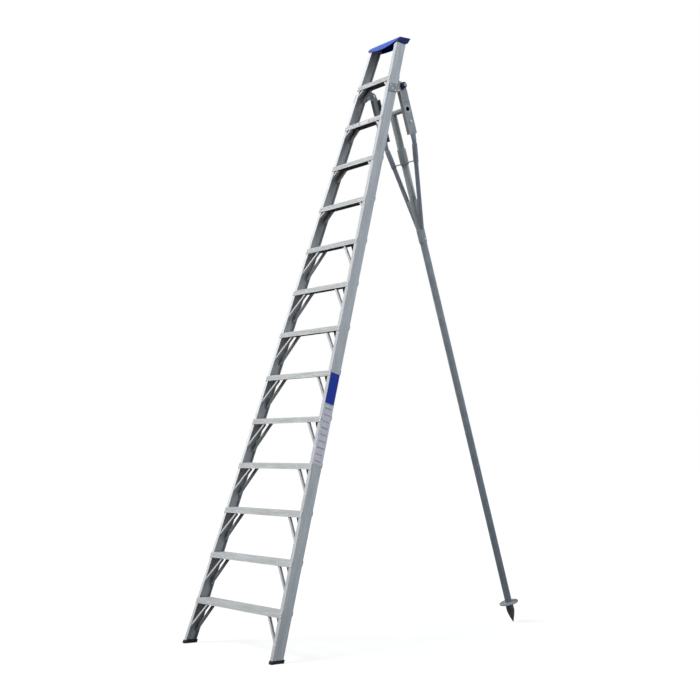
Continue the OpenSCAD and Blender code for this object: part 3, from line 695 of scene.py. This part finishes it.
# The base colour of each finish, how it is made, and what its maker asks for beyond that
FINISHES = {
    "stile_aluminium": ("stile", drawn_aluminium, "uwv", stile_highlight),
    "tread_aluminium": ("tread", drawn_aluminium, "wvx", tread_shade),
    "brace_aluminium": ("brace", brace_aluminium),
    "cap_plastic": ("cap", moulded_plastic, "cap_scuff", 0.4, 1.2 * MM, cap_painted_light),
    "shoe_rubber": ("shoe", moulded_plastic, "shoe_scuff", 0.62, 1.6 * MM),
    "bush_plastic": ("bush", moulded_plastic, "cap_scuff", 0.38, 1.0 * MM),
    "bracket_zinc": ("bracket", zinc_coat, "stain", 11 * MM, 60.0),
    "arm_zinc": ("arm", zinc_coat, "stain", 11 * MM, 60.0, arm_marks_and_shade),
    "cross_zinc": ("tube", zinc_coat, "stain", 9 * MM, 60.0, cross_bore_shade),
    "tube_zinc": ("tube", zinc_coat, "stain", 9 * MM, 60.0, tube_painted_light),
    "strut_zinc": ("strut", zinc_coat, "pole_stain", 7 * MM, 90.0),
    "pole_zinc": ("pole", zinc_coat, "pole_stain", 6 * MM, 110.0, pole_marks),
    "disc_zinc": ("disc", zinc_coat, "stain", 12 * MM, 45.0),
    "spike_iron": ("spike", spike_iron),
    "zinc_fastener": ("zinc", *PLATE),
    "leg_fastener": ("leg_zinc", *PLATE),
    "rivet_aluminium": ("rivet", *RIVET),
    "bracket_rivet_zinc": ("fresh_zinc", *RIVET),
    "cross_tube_welds": ("fresh_zinc", *WELD),
    "strut_welds": ("tube", *WELD),
    "collar_welds": ("tube", *WELD),
    "spike_welds": ("pole", *WELD),
    "blue_vinyl": ("sticker", *VINYL),
    "pale_foil": ("label", *FOIL),
    "strip_foil": ("label", *STRIP),
}


def finish_of(kind):
    """The material of a finish, made when it is first asked for."""
    name = f"{kind}_finish"
    material = bpy.data.materials.get(name)
    if not material:
        material = bpy.data.materials.new(name)
        base, maker, *rest = FINISHES[kind]
        colours = bpy.context.scene.ladder_colours
        maker(Nodes(material), colours, getattr(colours, base), *rest)
    return material


def paint(kind, *nodes):
    """Gives CAD nodes a finish."""
    for name in nodes:
        materials = frame["nodes"][name].data.materials
        materials.clear()
        materials.append(finish_of(kind))


def both(name):
    return [f"{name}_{side}" for side in SIDES]


# Properties


def hue(name, default, words):
    """A colour in the sidebar."""
    return FloatVectorProperty(
        name=name, description=words, default=default, subtype="COLOR", min=0.0, max=1.0
    )


def span(name, default, words):
    """A length in the sidebar."""
    return FloatProperty(name=name, description=words, default=default, min=0.0, unit="LENGTH")


class LadderColours(bpy.types.PropertyGroup):
    """Colours of the finishes."""

    stile: hue("Stiles", (0.60, 0.61, 0.625), "Extruded aluminium of the stiles")
    tread: hue("Treads", (0.58, 0.595, 0.60), "Extruded aluminium of the treads")
    brace: hue("Braces", (0.60, 0.61, 0.62), "Pressed aluminium of the braces")
    rivet: hue("Rivets", (0.64, 0.65, 0.66), "Aluminium of the rivets")
    dulled: hue("Dulled", (0.72, 0.725, 0.725), "Tint of the aluminium at the ground")
    clean: hue("Clean", (1.0, 1.0, 1.0), "Tint at the top of ladder and pole")
    # A painted highlight on the left stile's front face
    rubbed: hue("Rubbed", (0.97, 0.985, 1.0), "Rubbed front face of the left stile")
    # Painted shade inside treads, braces and arms, and the dark seam on the arms' ears
    dust: hue("Dust", (0.10, 0.10, 0.10), "Dull inside of treads, braces and arms")
    # Painted shade inside the cross tube
    soot: hue("Soot", (0.015, 0.015, 0.02), "Dark inside of the cross tube")
    cap: hue("Cap", (0.004, 0.012, 0.14), "Plastic of the top cap")
    # A painted highlight on the cap's front lip
    cap_lip: hue("Cap lip", (0.042, 0.11, 0.50), "Plastic of the cap's rubbed front lip")
    # Painted light: a paler blue under the top cap
    cap_inside: hue("Cap inside", (0.010, 0.10, 0.60), "Clean plastic under the top cap")
    cap_scuff: hue("Cap scuffs", (0.05, 0.08, 0.36), "Rubbed places on blue plastic")
    shoe: hue("Shoes", (0.003, 0.002, 0.012), "Rubber of the shoes")
    shoe_scuff: hue("Shoe scuffs", (0.020, 0.020, 0.045), "Rubbed places on the shoes")
    bush: hue("Bushes", (0.004, 0.007, 0.06), "Plastic of the hinge bushes")
    bracket: hue("Brackets", (0.36, 0.375, 0.385), "Zinc coat of the hinge brackets")
    arm: hue("Arms", (0.43, 0.44, 0.46), "Zinc coat of the arms")
    lap: hue("Lapped ear", (0.36, 0.355, 0.32), "Zinc on the ear that laps each arm")
    tube: hue("Tubes", (0.375, 0.42, 0.42), "Zinc coat of the leg head's tubes")
    strut: hue("Struts", (0.285, 0.305, 0.365), "Zinc coat of struts and sleeves")
    stain: hue("Zinc stains", (0.28, 0.29, 0.29), "Stains on the zinc")
    pole: hue("Pole", (0.395, 0.43, 0.455), "Zinc coat of the pole")
    pole_stain: hue("Pole stains", (0.23, 0.25, 0.285), "Stains on pole and struts")
    foot: hue("Leg foot", (0.43, 0.46, 0.50), "Tint of the pole near the ground")
    # Also painted light on the centre tube's shaft
    fresh_zinc: hue("Fresh zinc", (0.74, 0.76, 0.78), "Pale zinc on welds, rivets and tubes")
    disc: hue("Ground disc", (0.19, 0.19, 0.205), "Zinc coat of the ground disc")
    zinc: hue("Hinge bolts", (0.24, 0.33, 0.43), "Zinc plate of the hinge bolts")
    leg_zinc: hue("Leg bolts", (0.50, 0.52, 0.55), "Zinc plate of nuts and leg bolts")
    spike: hue("Spike", (0.050, 0.050, 0.062), "Forged iron of the spike")
    soil: hue("Soil", (0.21, 0.19, 0.16), "Dry soil and dust")
    sticker: hue("Blue label", (0.008, 0.035, 0.34), "Ground of the blue label")
    label: hue("Pale label", (0.66, 0.65, 0.70), "Ground of the pale labels")
    stripe_red: hue("Red stripes", (0.50, 0.10, 0.15), "Red stripes on the pale labels")
    stripe_dark: hue("Dark stripes", (0.08, 0.09, 0.17), "Dark stripes on the pale label")


class LadderSizes(bpy.types.PropertyGroup):
    """Sizes of what is added to the CAD frame."""

    cap_round: span("Cap edges", 1.4 * MM, "Radius of the cap's edges")
    tray_rim: span("Tray rim", 9 * MM, "Width of the tray's rim")
    tray_depth: span("Tray depth", 1.6 * MM, "Depth of the cap's tray")
    shoe_round: span("Shoe edges", 1.2 * MM, "Radius of the shoes' edges")
    bush_round: span("Bush edges", 2 * MM, "Radius of the bushes' edges")
    rivet_width: span("Rivet head", 9 * MM, "Diameter of the rivet heads")
    rivet_height: span("Rivet height", 1.8 * MM, "Height of the rivet heads")
    rivet_sides: IntProperty(
        name="Rivet sides", description="Sides of a rivet head", default=12, min=8, max=24
    )
    bead: span("Weld bead", 5 * MM, "Width of the weld beads")
    ripple: span("Weld ripple", 2.2 * MM, "Half the distance between weld ripples")
    sticker_foot: span("Blue label foot", 1.592, "Its lower edge, up the slope")
    sticker_length: span("Blue label length", 0.200, "Length of the blue label")
    label_foot: span("Pale label foot", 1.205, "Its lower edge, up the slope")
    label_length: span("Pale label length", 0.377, "Length of the pale label")
    label_width: span("Label width", 0.066, "Width of the stile's labels")
    label_corner: span("Label corner", 5 * MM, "Corner radius of the stile's labels")
    label_thickness: span("Label thickness", 0.35 * MM, "Thickness of labels and strip")
    band: span("Label bands", 9 * MM, "Width of the pale label's bands")
    strip_length: span("Strip length", 0.150, "Length of the tread's strip")
    strip_width: span("Strip width", 0.022, "Width of the tread's strip")
    strip_corner: span("Strip corner", 2 * MM, "Corner radius of the strip")


# Operators


class LADDER_OT_step_frame(bpy.types.Operator):
    """Finish the stiles, treads and braces"""

    bl_idname = "ladder.step_frame"
    bl_label = "Step frame"

    def execute(self, context):
        paint("stile_aluminium", *both("stile"))
        numbers = [f"{i:02d}" for i in range(1, TREADS + 1)]
        paint("tread_aluminium", *[f"tread_{n}" for n in numbers])
        paint("brace_aluminium", *[f"braces_{n}" for n in numbers])
        return {"FINISHED"}


class LADDER_OT_top_cap(bpy.types.Operator):
    """Model the moulded top cap with its shallow tray"""

    bl_idname = "ladder.top_cap"
    bl_label = "Top cap"

    def execute(self, context):
        radius = context.scene.ladder_sizes.cap_round
        stand_in("top_cap", "cap_moulding", "cap_plastic", radius, 3, self.tray)
        return {"FINISHED"}

    def tray(self, piece):
        """Sinks a shallow tray into the level top."""
        sizes = bpy.context.scene.ladder_sizes
        edit(piece)
        pick_faces(piece, lambda f: f.normal.z > 0.99 and f.calc_center_median().z > CAP_TOP - MM)
        bpy.ops.mesh.inset(thickness=sizes.tray_rim)
        down = {"value": (0, 0, -sizes.tray_depth)}
        bpy.ops.mesh.extrude_region_move(TRANSFORM_OT_translate=down)
        leave_edit()


class LADDER_OT_shoes(bpy.types.Operator):
    """Model the moulded shoes"""

    bl_idname = "ladder.shoes"
    bl_label = "Shoes"

    def execute(self, context):
        radius = context.scene.ladder_sizes.shoe_round
        for node in both("shoe"):
            stand_in(node, f"{node}_moulding", "shoe_rubber", radius)
        return {"FINISHED"}


class LADDER_OT_hinge(bpy.types.Operator):
    """Finish the hinge's brackets, bolts and nuts, and model its moulded bushes"""

    bl_idname = "ladder.hinge"
    bl_label = "Hinge"

    def execute(self, context):
        paint("bracket_zinc", *both("hinge_bracket"))
        paint("zinc_fastener", *both("hinge_bolt"))
        paint("leg_fastener", *both("hinge_nut"))
        radius = context.scene.ladder_sizes.bush_round
        for node in both("hinge_bush"):
            stand_in(node, f"{node}_moulding", "bush_plastic", radius, 3)
        return {"FINISHED"}


class LADDER_OT_leg_head(bpy.types.Operator):
    """Finish the arms, tubes, struts and plates of the leg's head"""

    bl_idname = "ladder.leg_head"
    bl_label = "Leg head"

    def execute(self, context):
        paint("arm_zinc", *both("arm"))
        paint("cross_zinc", "cross_tube")
        paint("strut_zinc", *both("strut"), *both("strut_sleeve"))
        paint("tube_zinc", "centre_tube", "centre_collar", "gusset_plates", "leg_socket", "tie_rod")
        paint("leg_fastener", *both("strut_bolt"), "socket_bolt")
        return {"FINISHED"}


class LADDER_OT_lower_leg(bpy.types.Operator):
    """Finish the pole, the ground disc and the spike"""

    bl_idname = "ladder.lower_leg"
    bl_label = "Lower leg"

    def execute(self, context):
        paint("pole_zinc", "leg_pole")
        paint("disc_zinc", "ground_disc")
        paint("spike_iron", "spike")
        return {"FINISHED"}


class LADDER_OT_rivets(bpy.types.Operator):
    """Model one blind rivet and set it wherever braces, treads and brackets are fixed"""

    bl_idname = "ladder.rivets"
    bl_label = "Rivets"

    # Shares of the head's radius and height: its wall, and the steps in and up of its dome
    WALL, WALL_MIDDLE = 0.6, 0.2
    DOME = ((0.22, 0.3), (0.33, 0.2), (0.08, -0.35))

    def execute(self, context):
        master = self.head(context.scene.ladder_sizes)
        for i in range(1, TREADS + 1):
            piece = copied(master, self.tread_places(i))
            settle(piece, f"rivets_{i:02d}", "ladder", "rivet_aluminium")
        piece = copied(master, self.bracket_places())
        settle(piece, "bracket_rivets", "ladder", "bracket_rivet_zinc")
        only(master)
        bpy.ops.object.delete()
        return {"FINISHED"}

    def head(self, sizes):
        """A low dome with the stub of the mandrel in its dimple."""
        radius, height = sizes.rivet_width / 2, sizes.rivet_height
        only()
        bpy.ops.mesh.primitive_cylinder_add(
            vertices=sizes.rivet_sides, radius=radius, depth=height * self.WALL,
            location=(0, 0, height * self.WALL_MIDDLE),
        )
        rest_in_mesh()
        rivet = bpy.context.object
        edit(rivet)
        pick_faces(rivet, lambda f: f.normal.z > 0.9)
        for inwards, upwards in self.DOME:
            bpy.ops.mesh.inset(thickness=radius * inwards, depth=height * upwards)
        leave_edit()
        smooth(rivet, 40)
        return rivet

    def tread_places(self, i):
        """The rivets of one tread and its four braces."""
        fall, front_run, rear_run = LONG_BRACE if i <= LONG_BRACED else SHORT_BRACE
        edge = i * PITCH
        low = edge - fall
        low_x = half_width(low) - BRACE_EDGE
        front = -BACK, 0.0, LIP_FRONT, edge, front_run, FRONT_PAIR, FRONT_EDGE
        rear = BACK, STILE_DEPTH, LIP_REAR, edge + REAR_RISE, rear_run, REAR_PAIR, REAR_EDGE
        for side in SIDES.values():
            for out, flange, lip, top, run, pair, margin in (front, rear):
                yield facing(ladder(side * low_x, flange, low), out)
                yield facing(ladder(side * (low_x - run), lip, top - LIP_RIVET_DROP), out)
                for v in (top - drop for drop in pair):
                    yield facing(ladder(side * (half_width(v) - margin), lip, v), out)

    def bracket_places(self):
        """Four rivets through each hinge bracket's level pad."""
        for side in SIDES.values():
            out = stile_out(side)
            for w, drop in PAD_RIVETS:
                v = PIVOT_V - PAD_DROP + w * math.tan(LEAN) - drop
                yield facing(ladder(side * half_width(v), w, v) + out * PAD_FACE, out)


class LADDER_OT_welds(bpy.types.Operator):
    """Lay rippled weld beads where the leg's steel pieces meet"""

    bl_idname = "ladder.welds"
    bl_label = "Welds"

    # Steps round and half round a tube, and a bead's width between its ripples
    RING_STEPS, ARC_STEPS, NARROW = 64, 24, 0.78
    # How far off the tubes the beads' middles lie, and where the straight and coped beads end
    SEAT, DISC_SEAT, SOCKET_SEAT, COLLAR_SEAT = MM, 1.5 * MM, 2 * MM, 2.5 * MM
    GUSSET_ENDS = (GUSSET_TOP + 4 * MM, GUSSET_FOOT - 30 * MM)
    COPE_END = STRUT_R * 0.98

    def execute(self, context):
        groups = {
            "cross_tube_welds": self.cross_tube_paths(),
            "strut_welds": self.strut_paths(),
            "collar_welds": self.collar_paths(),
            "spike_welds": self.spike_paths(),
        }
        for name, paths in groups.items():
            piece = joined([self.bead(*path, context.scene.ladder_sizes) for path in paths])
            smooth(piece, 60)
            settle(piece, name, "rear_leg", name)
        return {"FINISHED"}

    def bead(self, path, closed, sizes):
        """A bead along a path, whose ripples swell and narrow by turns."""
        points = self.stepped(path, sizes.ripple, closed)
        curve = bpy.data.curves.new("bead", "CURVE")
        curve.dimensions = "3D"
        curve.bevel_depth = sizes.bead / 2
        curve.bevel_resolution = 1
        curve.use_fill_caps = True
        spline = curve.splines.new("POLY")
        spline.points.add(len(points) - 1)
        spline.use_cyclic_u = closed
        for k, point in enumerate(points):
            spline.points[k].co = (*point, 1.0)
            spline.points[k].radius = 1.0 if k % 2 else self.NARROW
        bead = bpy.data.objects.new("bead", curve)
        bpy.context.scene.collection.objects.link(bead)
        only(bead)
        bpy.ops.object.convert(target="MESH")
        return bpy.context.object

    def stepped(self, path, step, closed):
        """Points at even steps along a path, an even count of them."""
        line = path + path[:1] if closed else path
        lengths = [(b - a).length for a, b in zip(line, line[1:])]
        count = 2 * round(sum(lengths) / step / 2)
        points = []
        for k in range(count if closed else count + 1):
            left = sum(lengths) * k / count
            j = 0
            while j < len(lengths) - 1 and left > lengths[j]:
                left -= lengths[j]
                j += 1
            points.append(line[j].lerp(line[j + 1], min(1.0, left / lengths[j])))
        return points

    def ring(self, place, radius):
        """A closed path round a circle, given by a function of two offsets."""
        turns = [2 * math.pi * k / self.RING_STEPS for k in range(self.RING_STEPS)]
        return [place(radius * math.cos(t), radius * math.sin(t)) for t in turns], True

    def across(self, radius):
        """Steps from the front to the rear of a tube, even round its half."""
        turns = [math.pi * (k / self.ARC_STEPS - 0.5) for k in range(self.ARC_STEPS + 1)]
        return [radius * math.sin(turn) for turn in turns]

    def cross_tube_paths(self):
        """Round the tube on the arms' faces, and along the saddle of the centre tube."""
        for side in SIDES.values():
            for x in (ARM_OUT, ARM_IN):
                yield self.ring(lambda p, q: leg(side * x, p, CROSS_S + q), CROSS_R + self.SEAT)
            yield [
                leg(side * chord(POLE_R, b), b, CROSS_S + chord(CROSS_R, b))
                for b in self.across(CROSS_R)
            ], False

    def strut_paths(self):
        """Along the coped struts, the gusset plates' edges and the top of the socket."""
        slant = math.cos(STRUT_ANGLE)
        for side in SIDES.values():
            path = []
            for b in self.across(self.COPE_END):
                x = chord(POLE_R, b)
                reach = chord(STRUT_R, b) / slant
                s = STRUT_TOP_S + (STRUT_TOP_X - x - reach) / STRUT_SLOPE
                path.append(leg(side * x, b, s))
            yield path, False
            cut, tube = chord(STRUT_R, GUSSET_B) / slant, chord(POLE_R, GUSSET_B)
            for place in (lambda s: strut_x(s) - cut, lambda s: tube):
                yield [leg(side * place(s), GUSSET_B, s) for s in self.GUSSET_ENDS], False
        yield self.ring(lambda p, q: leg(p, q, SOCKET_TOP), POLE_R + self.SOCKET_SEAT)

    def collar_paths(self):
        """Round both ends of the collar and of the sleeves."""
        for s in (COLLAR_TOP, COLLAR_FOOT):
            yield self.ring(lambda p, q: leg(p, q, s), POLE_R + self.COLLAR_SEAT)
        out, down = math.cos(STRUT_ANGLE), math.sin(STRUT_ANGLE)
        for side in SIDES.values():
            for drop in (0.0, SLEEVE_LENGTH):
                s = SLEEVE_TOP + drop * out
                yield self.ring(
                    lambda p, q: leg(side * (strut_x(s) + p * out), q, s + p * down),
                    STRUT_R + self.SEAT,
                )

    def spike_paths(self):
        """Round the pole on the disc, and round the spike under it."""
        above, below = DISC_S - self.SEAT, DISC_S + DISC_T + self.SEAT
        yield self.ring(lambda p, q: leg(p, q, above), POLE_R + self.DISC_SEAT)
        yield self.ring(lambda p, q: leg(p, q, below), SPIKE_NECK_R + self.SEAT)


class LADDER_OT_labels(bpy.types.Operator):
    """Stick two plain labels on the right stile and a plain strip on a tread"""

    bl_idname = "ladder.labels"
    bl_label = "Labels"

    def execute(self, context):
        sizes = context.scene.ladder_sizes
        blue = self.on_stile(sizes.sticker_foot, sizes.sticker_length, sizes)
        settle(blue, "blue_label", "ladder", "blue_vinyl")
        pale = self.on_stile(sizes.label_foot, sizes.label_length, sizes)
        settle(pale, "pale_label", "ladder", "pale_foil")
        strip = self.on_tread(sizes)
        settle(strip, "tread_strip", "ladder", "strip_foil")
        return {"FINISHED"}

    def on_stile(self, foot, height, sizes):
        """A sheet on the right stile's outer face."""
        middle = foot + height / 2
        at = ladder(half_width(middle), STILE_DEPTH / 2, middle)
        up = (UP - SLOPE * Vector((1, 0, 0))).normalized()
        place = framed(at, up.cross(stile_out(1)), up, stile_out(1))
        return self.sheet(sizes.label_width, height, sizes.label_corner, place, sizes)

    def on_tread(self, sizes):
        """A sheet on the front lip of a high tread."""
        at = ladder(STRIP_X, LIP_FRONT, STRIP_V)
        place = framed(at, BACK.cross(UP), UP, -BACK)
        size = sizes.strip_length, sizes.strip_width
        return self.sheet(*size, sizes.strip_corner, place, sizes)

    def sheet(self, width, height, corner, place, sizes):
        """A thin sheet with round corners at a placement."""
        only()
        bpy.ops.mesh.primitive_plane_add(size=1.0)
        piece = bpy.context.object
        piece.scale = (width, height, 1.0)
        rest_in_mesh()
        edit(piece)
        bpy.ops.mesh.bevel(offset=corner, segments=5, affect="VERTICES")
        leave_edit()
        modify(piece, "SOLIDIFY", thickness=sizes.label_thickness, offset=1.0)
        piece.matrix_world = place
        return piece


class LADDER_OT_stage(bpy.types.Operator):
    """Set up the white studio: floor, world, lamps and camera"""

    bl_idname = "ladder.stage"
    bl_label = "Studio"

    def execute(self, context):
        scene = context.scene
        scene.view_settings.view_transform = "Standard"
        self.floor()
        self.world(scene)
        for name, settings in LAMPS.items():
            self.lamp(name, *settings)
        self.camera(scene)
        return {"FINISHED"}

    def end(self, nodes, kind, unseen, white):
        """Ends a tree in white for the camera, mirrored and refracted rays too."""
        kinds = ("Is Camera Ray", "Is Glossy Ray", "Is Transmission Ray")
        camera, glossy, refracted = (nodes.node("ShaderNodeLightPath", output=k) for k in kinds)
        seen = camera.most(glossy).most(refracted)
        mixed = nodes.node("ShaderNodeMixShader", {}, {0: seen, 1: unseen, 2: white})
        nodes.node(kind, {}, {"Surface": mixed})

    def floor(self):
        """A white floor that takes a faint shadow and sends little light back."""
        only()
        bpy.ops.mesh.primitive_plane_add(size=FLOOR_SIZE, location=(0, 0, -FLOOR_DROP))
        rest_in_mesh()
        floor = bpy.context.object
        floor.name = "floor"
        material = bpy.data.materials.new("pale_floor")
        nodes = Nodes(material)
        pale = nodes.node("ShaderNodeBsdfDiffuse", {}, {"Color": FLOOR_PALE})
        glow = nodes.node("ShaderNodeEmission", {}, {"Color": WHITE, "Strength": FLOOR_GLOW})
        white = nodes.node("ShaderNodeAddShader", {}, {0: pale, 1: glow})
        dull = nodes.node("ShaderNodeBsdfDiffuse", {}, {"Color": FLOOR_DULL})
        self.end(nodes, "ShaderNodeOutputMaterial", dull, white)
        floor.data.materials.append(material)

    def world(self, scene):
        """A white background that lights the ladder with a dim cool sky."""
        scene.world = bpy.data.worlds.new("studio")
        nodes = Nodes(scene.world)
        sky = nodes.node("ShaderNodeBackground", {}, {"Color": SKY, "Strength": SKY_LIGHT})
        white = nodes.node("ShaderNodeBackground", {}, {"Color": WHITE, "Strength": 1.0})
        self.end(nodes, "ShaderNodeOutputWorld", sky, white)

    def lamp(self, name, azimuth, elevation, strength, angle, tint):
        """A soft sun that shines from an azimuth, where 0 is the front and 90 the right."""
        a, e = math.radians(azimuth), math.radians(elevation)
        source = Vector((math.sin(a) * math.cos(e), -math.cos(a) * math.cos(e), math.sin(e)))
        bpy.ops.object.light_add(type="SUN", location=source * LAMP_REACH)
        lamp = bpy.context.object
        lamp.name = name
        lamp.rotation_euler = (-source).to_track_quat("-Z", "Y").to_euler()
        lamp.data.energy = strength
        lamp.data.color = tint[:3]
        lamp.data.angle = math.radians(angle)

    def camera(self, scene):
        """The photograph's view: yaw from the front, pitch and roll, in degrees."""
        yaw, pitch, roll = map(math.radians, (CAMERA_YAW, CAMERA_PITCH, CAMERA_ROLL))
        level = Vector((math.cos(yaw), math.sin(yaw), 0))
        ahead = Vector((-math.sin(yaw), math.cos(yaw), 0))
        look = math.cos(pitch) * ahead + math.sin(pitch) * Vector((0, 0, 1))
        upright = level.cross(look)
        right = math.cos(roll) * level + math.sin(roll) * upright
        up = math.cos(roll) * upright - math.sin(roll) * level
        bpy.ops.object.camera_add()
        camera = bpy.context.object
        camera.matrix_world = framed(CAMERA_AT, right, up, -look)
        camera.data.sensor_width = CAMERA_SENSOR
        camera.data.lens = CAMERA_LENS
        camera.data.clip_end = CAMERA_REACH
        scene.camera = camera


PIECES = (
    LADDER_OT_stage,
    LADDER_OT_step_frame,
    LADDER_OT_top_cap,
    LADDER_OT_shoes,
    LADDER_OT_hinge,
    LADDER_OT_leg_head,
    LADDER_OT_lower_leg,
    LADDER_OT_rivets,
    LADDER_OT_welds,
    LADDER_OT_labels,
)


class LADDER_PT_panel(bpy.types.Panel):
    """Sizes, colours and steps of the ladder's looks"""

    bl_idname = "LADDER_PT_panel"
    bl_label = "Cherry picking ladder"
    bl_space_type = "VIEW_3D"
    bl_region_type = "UI"
    bl_category = "Ladder"

    def draw(self, context):
        for piece in PIECES:
            self.layout.operator(piece.bl_idname)
        for group in (context.scene.ladder_sizes, context.scene.ladder_colours):
            for name in group.bl_rna.properties.keys():
                if name not in ("rna_type", "name"):
                    self.layout.prop(group, name)


CLASSES = (LadderColours, LadderSizes, *PIECES, LADDER_PT_panel)


def register():
    for cls in CLASSES:
        bpy.utils.register_class(cls)
    bpy.types.Scene.ladder_colours = PointerProperty(type=LadderColours)
    bpy.types.Scene.ladder_sizes = PointerProperty(type=LadderSizes)


def unregister():
    del bpy.types.Scene.ladder_sizes
    del bpy.types.Scene.ladder_colours
    for cls in reversed(CLASSES):
        bpy.utils.unregister_class(cls)


def main():
    register()
    bpy.ops.ladder.stage()
    bpy.ops.ladder.step_frame()
    bpy.ops.ladder.top_cap()
    bpy.ops.ladder.shoes()
    bpy.ops.ladder.hinge()
    bpy.ops.ladder.leg_head()
    bpy.ops.ladder.lower_leg()
    bpy.ops.ladder.rivets()
    bpy.ops.ladder.welds()
    bpy.ops.ladder.labels()


if __name__ == "__main__":
    main()
